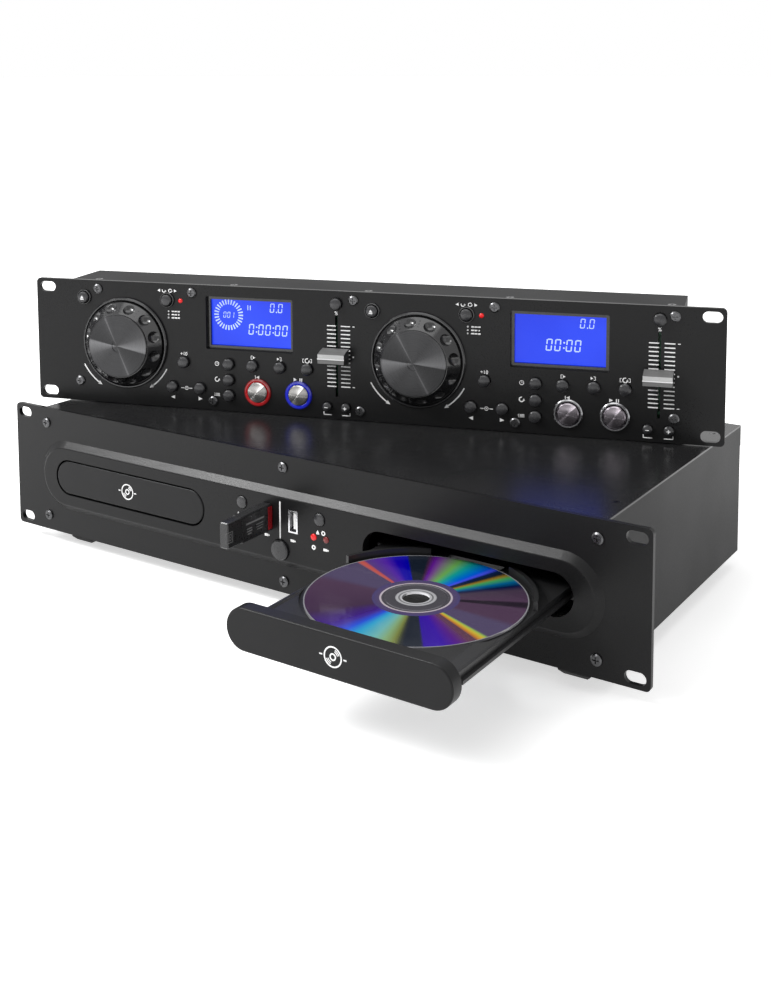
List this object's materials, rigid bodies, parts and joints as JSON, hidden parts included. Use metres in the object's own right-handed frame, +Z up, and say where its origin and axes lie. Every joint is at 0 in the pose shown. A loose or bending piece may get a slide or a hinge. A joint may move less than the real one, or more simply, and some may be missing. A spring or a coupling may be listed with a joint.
{
  "type": "dual disc player with controller",
  "caption": "Dual disc player for a DJ: a rack unit with one disc tray open and one shut, and on its roof a rack controller with jog wheels, displays, faders and buttons.",
  "frame": {"origin": "centre of the player's four rack slots, on the front face of its panel", "axes": "+X to the operator's right along the panel, +Y from the panel back into the case, +Z up"},
  "size_m": [0.4826, 0.3582, 0.1862],
  "materials": {
    "panel_black": "satin black powder coat",
    "case_black": "semi-gloss black paint",
    "roof_black": "semi-gloss black paint",
    "foot_rubber": "matte",
    "screw_black": "black zinc",
    "loader_plastic": "moulded",
    "board_green": "circuit board",
    "tray_plastic": "moulded black",
    "door_plastic": "satin moulded black",
    "gear_plastic": "natural acetal",
    "disc_mirror": "mirrored, with rainbow bands",
    "stick_black": "satin black with a dark red end",
    "button_black": "satin",
    "bezel_dark": "gloss black, with lit rings",
    "display_glass": "lit blue display",
    "jog_plastic": "gloss rim with a turned metal cap",
    "fader_silver": "silver",
    "cap_steel": "spun metal"
  },
  "bodies": {
    "player": {"player_front_panel": "panel_black", "player_chassis": "case_black", "player_top_cover": "roof_black", "player_feet": "foot_rubber", "player_screws": "screw_black", "disc_loaders": "loader_plastic", "player_main_board": "board_green"},
    "left_tray_body": {"left_tray": "tray_plastic", "left_tray_door": "door_plastic"},
    "right_tray_body": {"right_tray": "tray_plastic", "right_tray_door": "door_plastic"},
    "left_gear": {"left_loading_gear": "gear_plastic"},
    "right_gear": {"right_loading_gear": "gear_plastic"},
    "disc": {"compact_disc": "disc_mirror"},
    "stick": {"memory_stick": "stick_black"},
    "controller": {"controller_front_panel": "panel_black", "controller_case": "case_black", "control_bezels": "bezel_dark", "displays": "display_glass", "controller_screws": "screw_black", "controller_board": "board_green"},
    "left_jog": {"left_jog_wheel": "jog_plastic"},
    "right_jog": {"right_jog_wheel": "jog_plastic"},
    "left_fader": {"left_pitch_fader": "fader_silver"},
    "right_fader": {"right_pitch_fader": "fader_silver"},
    "left_cue": {"left_cue_button": "cap_steel"},
    "left_play": {"left_play_button": "cap_steel"},
    "right_cue": {"right_cue_button": "cap_steel"},
    "right_play": {"right_play_button": "cap_steel"},
    "power": {"power_button": "button_black"},
    "left_source": {"left_source_button": "button_black"},
    "right_source": {"right_source_button": "button_black"},
    "left_eject": {"left_eject_button": "button_black"},
    "left_jog_mode": {"left_jog_mode_button": "button_black"},
    "left_plus_ten": {"left_plus_ten_button": "button_black"},
    "left_track_back": {"left_track_back_button": "button_black"},
    "left_track_forward": {"left_track_forward_button": "button_black"},
    "left_time": {"left_time_button": "button_black"},
    "left_repeat": {"left_repeat_button": "button_black"},
    "left_program": {"left_program_button": "button_black"},
    "left_loop_in": {"left_loop_in_button": "button_black"},
    "left_loop_out": {"left_loop_out_button": "button_black"},
    "left_reloop": {"left_reloop_button": "button_black"},
    "left_pitch": {"left_pitch_button": "button_black"},
    "left_bend_down": {"left_bend_down_button": "button_black"},
    "left_bend_up": {"left_bend_up_button": "button_black"},
    "right_eject": {"right_eject_button": "button_black"},
    "right_jog_mode": {"right_jog_mode_button": "button_black"},
    "right_plus_ten": {"right_plus_ten_button": "button_black"},
    "right_track_back": {"right_track_back_button": "button_black"},
    "right_track_forward": {"right_track_forward_button": "button_black"},
    "right_time": {"right_time_button": "button_black"},
    "right_repeat": {"right_repeat_button": "button_black"},
    "right_program": {"right_program_button": "button_black"},
    "right_loop_in": {"right_loop_in_button": "button_black"},
    "right_loop_out": {"right_loop_out_button": "button_black"},
    "right_reloop": {"right_reloop_button": "button_black"},
    "right_pitch": {"right_pitch_button": "button_black"},
    "right_bend_down": {"right_bend_down_button": "button_black"},
    "right_bend_up": {"right_bend_up_button": "button_black"}
  },
  "joints": [
    {"name": "right_tray_close", "type": "slide", "parent": "player", "child": "right_tray_body", "axis": [0, 1, 0], "range_m": [0, 0.12566]},
    {"name": "left_tray_open", "type": "slide", "parent": "player", "child": "left_tray_body", "axis": [0, -1, 0], "range_m": [0, 0.12566]},
    {"name": "controller_lift", "type": "slide", "parent": "player", "child": "controller", "axis": [0, 0, 1], "range_m": [0, 0.12]},
    {"name": "left_jog_turn", "type": "hinge", "parent": "controller", "child": "left_jog", "pos_m": [-0.17064, 0.03925, 0.0882], "axis": [0.299, -0.9542, 0], "continuous": true},
    {"name": "right_jog_turn", "type": "hinge", "parent": "controller", "child": "right_jog", "pos_m": [0.03404, 0.1034, 0.0882], "axis": [0.299, -0.9542, 0], "continuous": true},
    {"name": "left_pitch_slide", "type": "slide", "parent": "controller", "child": "left_fader", "axis": [0, 0, 1], "range_m": [-0.0214, 0.0202]},
    {"name": "right_pitch_slide", "type": "slide", "parent": "controller", "child": "right_fader", "axis": [0, 0, 1], "range_m": [-0.0198, 0.0218]},
    {"name": "disc_spin", "type": "hinge", "parent": "right_tray_body", "child": "disc", "pos_m": [0.13, -0.05316, 0.00025], "axis": [0, 0, 1], "continuous": true},
    {"name": "stick_pull", "type": "slide", "parent": "player", "child": "stick", "axis": [0, -1, 0], "range_m": [0, 0.02]},
    {"name": "left_cue_press", "type": "slide", "parent": "controller", "child": "left_cue", "axis": [-0.299, 0.9542, 0], "range_m": [0, 0.001], "stiffness_N_per_m": 400, "springref_m": -0.0004},
    {"name": "left_play_press", "type": "slide", "parent": "controller", "child": "left_play", "axis": [-0.299, 0.9542, 0], "range_m": [0, 0.001], "stiffness_N_per_m": 400, "springref_m": -0.0004},
    {"name": "right_cue_press", "type": "slide", "parent": "controller", "child": "right_cue", "axis": [-0.299, 0.9542, 0], "range_m": [0, 0.001], "stiffness_N_per_m": 400, "springref_m": -0.0004},
    {"name": "right_play_press", "type": "slide", "parent": "controller", "child": "right_play", "axis": [-0.299, 0.9542, 0], "range_m": [0, 0.001], "stiffness_N_per_m": 400, "springref_m": -0.0004},
    {"name": "power_press", "type": "slide", "parent": "player", "child": "power", "axis": [0, 1, 0], "range_m": [0, 0.001], "stiffness_N_per_m": 400, "springref_m": -0.0004},
    {"name": "left_source_press", "type": "slide", "parent": "player", "child": "left_source", "axis": [0, 1, 0], "range_m": [0, 0.001], "stiffness_N_per_m": 400, "springref_m": -0.0004},
    {"name": "right_source_press", "type": "slide", "parent": "player", "child": "right_source", "axis": [0, 1, 0], "range_m": [0, 0.001], "stiffness_N_per_m": 400, "springref_m": -0.0004},
    {"name": "right_gear_turn", "type": "hinge", "parent": "player", "child": "right_gear", "pos_m": [0.17, 0.022, -0.00425], "axis": [0, 0, 1], "range_deg": [0, 902]},
    {"name": "left_gear_turn", "type": "hinge", "parent": "player", "child": "left_gear", "pos_m": [-0.09, 0.022, -0.00425], "axis": [0, 0, 1], "range_deg": [-902, 0]},
    {"name": "left_eject_press", "type": "slide", "parent": "controller", "child": "left_eject", "axis": [-0.299, 0.9542, 0], "range_m": [0, 0.001], "stiffness_N_per_m": 400, "springref_m": -0.0004},
    {"name": "left_jog_mode_press", "type": "slide", "parent": "controller", "child": "left_jog_mode", "axis": [-0.299, 0.9542, 0], "range_m": [0, 0.001], "stiffness_N_per_m": 400, "springref_m": -0.0004},
    {"name": "left_plus_ten_press", "type": "slide", "parent": "controller", "child": "left_plus_ten", "axis": [-0.299, 0.9542, 0], "range_m": [0, 0.001], "stiffness_N_per_m": 400, "springref_m": -0.0004},
    {"name": "left_track_back_press", "type": "slide", "parent": "controller", "child": "left_track_back", "axis": [-0.299, 0.9542, 0], "range_m": [0, 0.001], "stiffness_N_per_m": 400, "springref_m": -0.0004},
    {"name": "left_track_forward_press", "type": "slide", "parent": "controller", "child": "left_track_forward", "axis": [-0.299, 0.9542, 0], "range_m": [0, 0.001], "stiffness_N_per_m": 400, "springref_m": -0.0004},
    {"name": "left_time_press", "type": "slide", "parent": "controller", "child": "left_time", "axis": [-0.299, 0.9542, 0], "range_m": [0, 0.001], "stiffness_N_per_m": 400, "springref_m": -0.0004},
    {"name": "left_repeat_press", "type": "slide", "parent": "controller", "child": "left_repeat", "axis": [-0.299, 0.9542, 0], "range_m": [0, 0.001], "stiffness_N_per_m": 400, "springref_m": -0.0004},
    {"name": "left_program_press", "type": "slide", "parent": "controller", "child": "left_program", "axis": [-0.299, 0.9542, 0], "range_m": [0, 0.001], "stiffness_N_per_m": 400, "springref_m": -0.0004},
    {"name": "left_loop_in_press", "type": "slide", "parent": "controller", "child": "left_loop_in", "axis": [-0.299, 0.9542, 0], "range_m": [0, 0.001], "stiffness_N_per_m": 400, "springref_m": -0.0004},
    {"name": "left_loop_out_press", "type": "slide", "parent": "controller", "child": "left_loop_out", "axis": [-0.299, 0.9542, 0], "range_m": [0, 0.001], "stiffness_N_per_m": 400, "springref_m": -0.0004},
    {"name": "left_reloop_press", "type": "slide", "parent": "controller", "child": "left_reloop", "axis": [-0.299, 0.9542, 0], "range_m": [0, 0.001], "stiffness_N_per_m": 400, "springref_m": -0.0004},
    {"name": "left_pitch_press", "type": "slide", "parent": "controller", "child": "left_pitch", "axis": [-0.299, 0.9542, 0], "range_m": [0, 0.001], "stiffness_N_per_m": 400, "springref_m": -0.0004},
    {"name": "left_bend_down_press", "type": "slide", "parent": "controller", "child": "left_bend_down", "axis": [-0.299, 0.9542, 0], "range_m": [0, 0.001], "stiffness_N_per_m": 400, "springref_m": -0.0004},
    {"name": "left_bend_up_press", "type": "slide", "parent": "controller", "child": "left_bend_up", "axis": [-0.299, 0.9542, 0], "range_m": [0, 0.001], "stiffness_N_per_m": 400, "springref_m": -0.0004},
    {"name": "right_eject_press", "type": "slide", "parent": "controller", "child": "right_eject", "axis": [-0.299, 0.9542, 0], "range_m": [0, 0.001], "stiffness_N_per_m": 400, "springref_m": -0.0004},
    {"name": "right_jog_mode_press", "type": "slide", "parent": "controller", "child": "right_jog_mode", "axis": [-0.299, 0.9542, 0], "range_m": [0, 0.001], "stiffness_N_per_m": 400, "springref_m": -0.0004},
    {"name": "right_plus_ten_press", "type": "slide", "parent": "controller", "child": "right_plus_ten", "axis": [-0.299, 0.9542, 0], "range_m": [0, 0.001], "stiffness_N_per_m": 400, "springref_m": -0.0004},
    {"name": "right_track_back_press", "type": "slide", "parent": "controller", "child": "right_track_back", "axis": [-0.299, 0.9542, 0], "range_m": [0, 0.001], "stiffness_N_per_m": 400, "springref_m": -0.0004},
    {"name": "right_track_forward_press", "type": "slide", "parent": "controller", "child": "right_track_forward", "axis": [-0.299, 0.9542, 0], "range_m": [0, 0.001], "stiffness_N_per_m": 400, "springref_m": -0.0004},
    {"name": "right_time_press", "type": "slide", "parent": "controller", "child": "right_time", "axis": [-0.299, 0.9542, 0], "range_m": [0, 0.001], "stiffness_N_per_m": 400, "springref_m": -0.0004},
    {"name": "right_repeat_press", "type": "slide", "parent": "controller", "child": "right_repeat", "axis": [-0.299, 0.9542, 0], "range_m": [0, 0.001], "stiffness_N_per_m": 400, "springref_m": -0.0004},
    {"name": "right_program_press", "type": "slide", "parent": "controller", "child": "right_program", "axis": [-0.299, 0.9542, 0], "range_m": [0, 0.001], "stiffness_N_per_m": 400, "springref_m": -0.0004},
    {"name": "right_loop_in_press", "type": "slide", "parent": "controller", "child": "right_loop_in", "axis": [-0.299, 0.9542, 0], "range_m": [0, 0.001], "stiffness_N_per_m": 400, "springref_m": -0.0004},
    {"name": "right_loop_out_press", "type": "slide", "parent": "controller", "child": "right_loop_out", "axis": [-0.299, 0.9542, 0], "range_m": [0, 0.001], "stiffness_N_per_m": 400, "springref_m": -0.0004},
    {"name": "right_reloop_press", "type": "slide", "parent": "controller", "child": "right_reloop", "axis": [-0.299, 0.9542, 0], "range_m": [0, 0.001], "stiffness_N_per_m": 400, "springref_m": -0.0004},
    {"name": "right_pitch_press", "type": "slide", "parent": "controller", "child": "right_pitch", "axis": [-0.299, 0.9542, 0], "range_m": [0, 0.001], "stiffness_N_per_m": 400, "springref_m": -0.0004},
    {"name": "right_bend_down_press", "type": "slide", "parent": "controller", "child": "right_bend_down", "axis": [-0.299, 0.9542, 0], "range_m": [0, 0.001], "stiffness_N_per_m": 400, "springref_m": -0.0004},
    {"name": "right_bend_up_press", "type": "slide", "parent": "controller", "child": "right_bend_up", "axis": [-0.299, 0.9542, 0], "range_m": [0, 0.001], "stiffness_N_per_m": 400, "springref_m": -0.0004}
  ],
  "couplings": [
    {"joint": "right_gear_turn", "follows": "right_tray_close", "rad_per_m": 125},
    {"joint": "left_gear_turn", "follows": "left_tray_open", "rad_per_m": -125}
  ]
}
